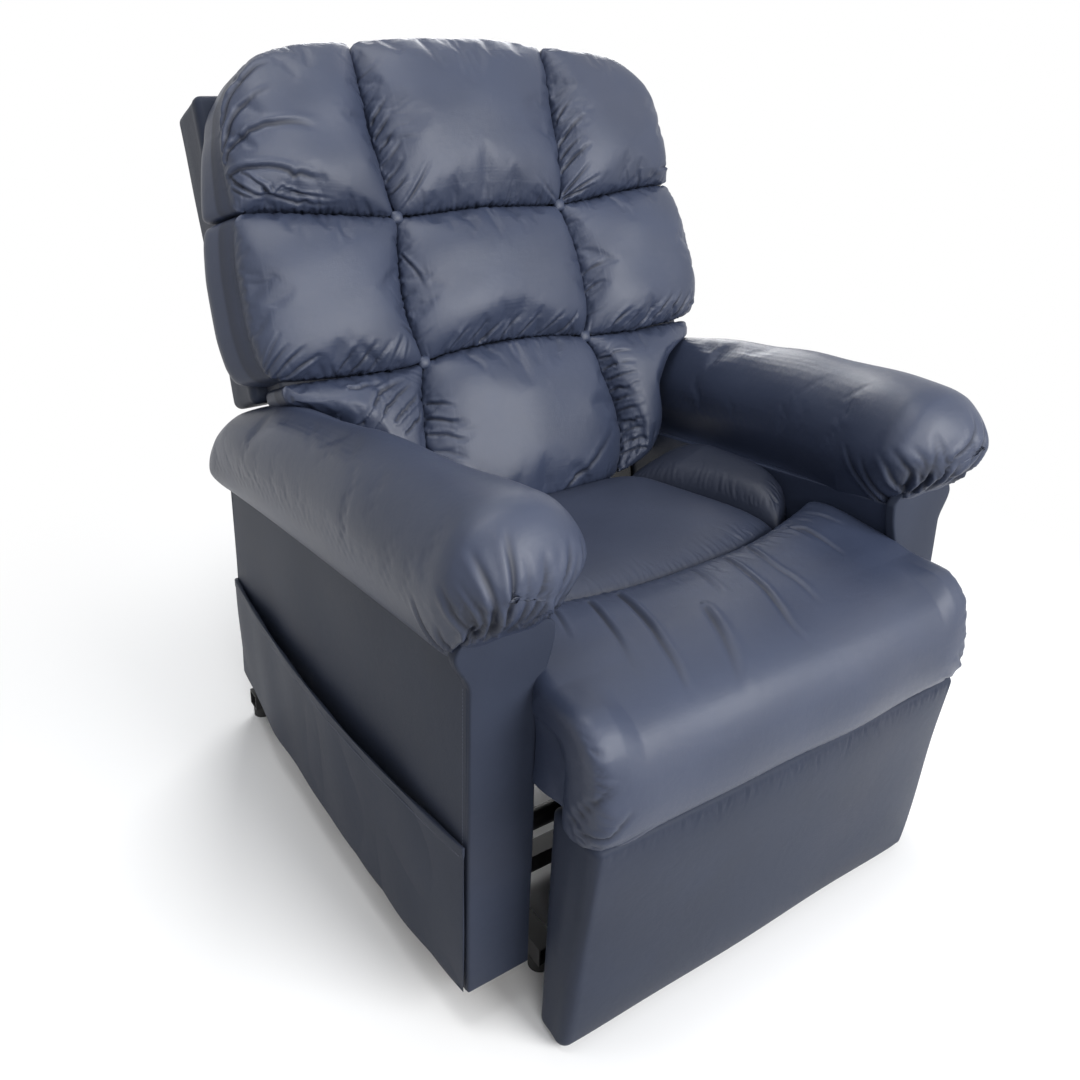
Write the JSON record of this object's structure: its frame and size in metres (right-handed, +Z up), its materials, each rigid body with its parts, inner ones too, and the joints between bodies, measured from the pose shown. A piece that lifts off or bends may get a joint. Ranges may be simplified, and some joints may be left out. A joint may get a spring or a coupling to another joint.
{
  "type": "lift recliner chair",
  "caption": "Padded power lift recliner: a seat, arms and a tufted back on a linkage that raises and tilts the chair, with a reclining back and a swing-up legrest.",
  "frame": {"origin": "on the floor, midway between the front of the roll and the rear of the back shell, and midway between the arms", "axes": "+Z up, the chair faces -Y, +X is the sitter's left"},
  "size_m": [0.9404, 1.0874, 1.2257],
  "materials": {
    "vinyl_panel": "satin",
    "vinyl_padded": "satin",
    "frame_steel": "satin",
    "pin_steel": "satin",
    "spring_wire": "satin",
    "rod_chrome": "polished",
    "drive_plastic": "matte",
    "key_plastic": "satin",
    "glide_rubber": "matte",
    "frame_wood": "matte"
  },
  "bodies": {
    "floor_base": {"base_side_rails": "frame_steel", "base_cross_tubes": "frame_steel", "floor_glides": "glide_rubber", "link_brackets": "frame_steel", "base_pivot_pins": "pin_steel", "lift_actuator_bracket": "frame_steel"},
    "rear_lift_links": {"rear_lift_links": "frame_steel", "lift_torsion_tube": "frame_steel"},
    "front_lift_links": {"front_lift_links": "frame_steel"},
    "chair_frame": {"side_plate_left": "frame_steel", "side_plate_right": "frame_steel", "frame_pivot_pins": "pin_steel", "frame_cross_tubes": "frame_steel", "actuator_clevises": "frame_steel", "seat_rails": "frame_wood", "legrest_brackets": "frame_steel", "rear_stretcher": "frame_wood", "seat_springs": "spring_wire", "seat_cushion": "vinyl_padded", "arm_frame_left": "frame_wood", "arm_inner_panel_left": "vinyl_panel", "arm_outer_panel_left": "vinyl_panel", "arm_front_panel_left": "vinyl_panel", "arm_pad_left": "vinyl_padded", "arm_frame_right": "frame_wood", "arm_inner_panel_right": "vinyl_panel", "arm_outer_panel_right": "vinyl_panel", "arm_front_panel_right": "vinyl_panel", "arm_pad_right": "vinyl_padded", "side_pocket": "vinyl_panel", "control_box": "drive_plastic", "inlet_socket": "drive_plastic"},
    "backrest": {"back_row_top": "vinyl_padded", "back_row_middle": "vinyl_padded", "back_row_bottom": "vinyl_padded", "back_buttons": "vinyl_padded", "back_posts": "frame_wood", "back_rails": "frame_wood", "back_springs": "spring_wire", "back_outer_cover": "vinyl_panel", "back_lower_cover": "vinyl_panel", "back_hinge_plates": "frame_steel", "recline_crank_tube": "frame_steel"},
    "legrest": {"legrest_hinge_tube": "frame_steel", "legrest_crank": "frame_steel", "legrest_hinge_arms": "frame_steel", "legrest_board": "frame_wood", "legrest_cover": "vinyl_panel", "front_roll": "vinyl_padded"},
    "lift_actuator": {"lift_actuator_tube": "drive_plastic"},
    "lift_rod": {"lift_actuator_rod": "rod_chrome"},
    "recline_actuator": {"recline_actuator_tube": "drive_plastic"},
    "recline_rod": {"recline_actuator_rod": "rod_chrome"},
    "legrest_actuator": {"legrest_actuator_tube": "drive_plastic"},
    "legrest_rod": {"legrest_actuator_rod": "rod_chrome"},
    "hand_control": {"hand_control_case": "drive_plastic"},
    "lift_key": {"lift_rocker": "key_plastic"},
    "back_key": {"back_rocker": "key_plastic"},
    "legrest_key": {"legrest_rocker": "key_plastic"}
  },
  "joints": [
    {"name": "lift", "type": "hinge", "parent": "floor_base", "child": "rear_lift_links", "pos_m": [0, -0.15373, 0.09], "axis": [1, 0, 0], "range_deg": [0, 65]},
    {"name": "lift_tilt", "type": "hinge", "parent": "rear_lift_links", "child": "chair_frame", "pos_m": [0, 0.19627, 0.13], "axis": [1, 0, 0], "range_deg": [-43.1, 0.1]},
    {"name": "front_link_swing", "type": "hinge", "parent": "floor_base", "child": "front_lift_links", "pos_m": [0, -0.21673, 0.089], "axis": [1, 0, 0], "range_deg": [-0.1, 69.7]},
    {"name": "lift_actuator_swing", "type": "hinge", "parent": "floor_base", "child": "lift_actuator", "pos_m": [0, -0.22373, 0.1], "axis": [1, 0, 0], "range_deg": [-0.1, 62.8]},
    {"name": "lift_rod_slide", "type": "slide", "parent": "lift_actuator", "child": "lift_rod", "axis": [0, 0.848, 0.53], "range_m": [-0.0001, 0.0863]},
    {"name": "recline", "type": "hinge", "parent": "chair_frame", "child": "backrest", "pos_m": [0, 0.23627, 0.45], "axis": [-1, 0, 0], "range_deg": [0, 45]},
    {"name": "recline_actuator_swing", "type": "hinge", "parent": "chair_frame", "child": "recline_actuator", "pos_m": [0, 0.02627, 0.32], "axis": [-1, 0, 0], "range_deg": [-0.1, 3.8]},
    {"name": "recline_rod_slide", "type": "slide", "parent": "recline_actuator", "child": "recline_rod", "axis": [0, 0.9487, 0.3162], "range_m": [-0.0529, 0.0001]},
    {"name": "legrest_swing", "type": "hinge", "parent": "chair_frame", "child": "legrest", "pos_m": [0, -0.50373, 0.478], "axis": [-1, 0, 0], "range_deg": [0, 85]},
    {"name": "legrest_actuator_swing", "type": "hinge", "parent": "chair_frame", "child": "legrest_actuator", "pos_m": [0, -0.28373, 0.212], "axis": [1, 0, 0], "range_deg": [-0.1, 0.7]},
    {"name": "legrest_rod_slide", "type": "slide", "parent": "legrest_actuator", "child": "legrest_rod", "axis": [0, -0.6944, 0.7196], "range_m": [-0.0001, 0.0514]},
    {"name": "hand_control_lift_out", "type": "slide", "parent": "chair_frame", "child": "hand_control", "axis": [0, 0, 1], "range_m": [0, 0.26]},
    {"name": "lift_key_tip", "type": "hinge", "parent": "hand_control", "child": "lift_key", "pos_m": [-0.4415, 0.01127, 0.201], "axis": [0, 1, 0], "range_deg": [-6, 6], "stiffness_Nm_per_rad": 0.25},
    {"name": "back_key_tip", "type": "hinge", "parent": "hand_control", "child": "back_key", "pos_m": [-0.4415, 0.01127, 0.163], "axis": [0, 1, 0], "range_deg": [-6, 6], "stiffness_Nm_per_rad": 0.25},
    {"name": "legrest_key_tip", "type": "hinge", "parent": "hand_control", "child": "legrest_key", "pos_m": [-0.4415, 0.01127, 0.125], "axis": [0, 1, 0], "range_deg": [-6, 6], "stiffness_Nm_per_rad": 0.25}
  ],
  "couplings": [
    {"joint": "lift_tilt", "follows": "lift", "ratio": -0.66154},
    {"joint": "front_link_swing", "follows": "lift", "ratio": 1.07},
    {"joint": "lift_actuator_swing", "follows": "lift", "ratio": 0.96437},
    {"joint": "lift_rod_slide", "follows": "lift", "m_per_rad": 0.07595},
    {"joint": "recline_actuator_swing", "follows": "recline", "ratio": 0.080422},
    {"joint": "recline_rod_slide", "follows": "recline", "m_per_rad": -0.067168},
    {"joint": "legrest_actuator_swing", "follows": "legrest_swing", "ratio": 0.005776},
    {"joint": "legrest_rod_slide", "follows": "legrest_swing", "m_per_rad": 0.034554}
  ]
}
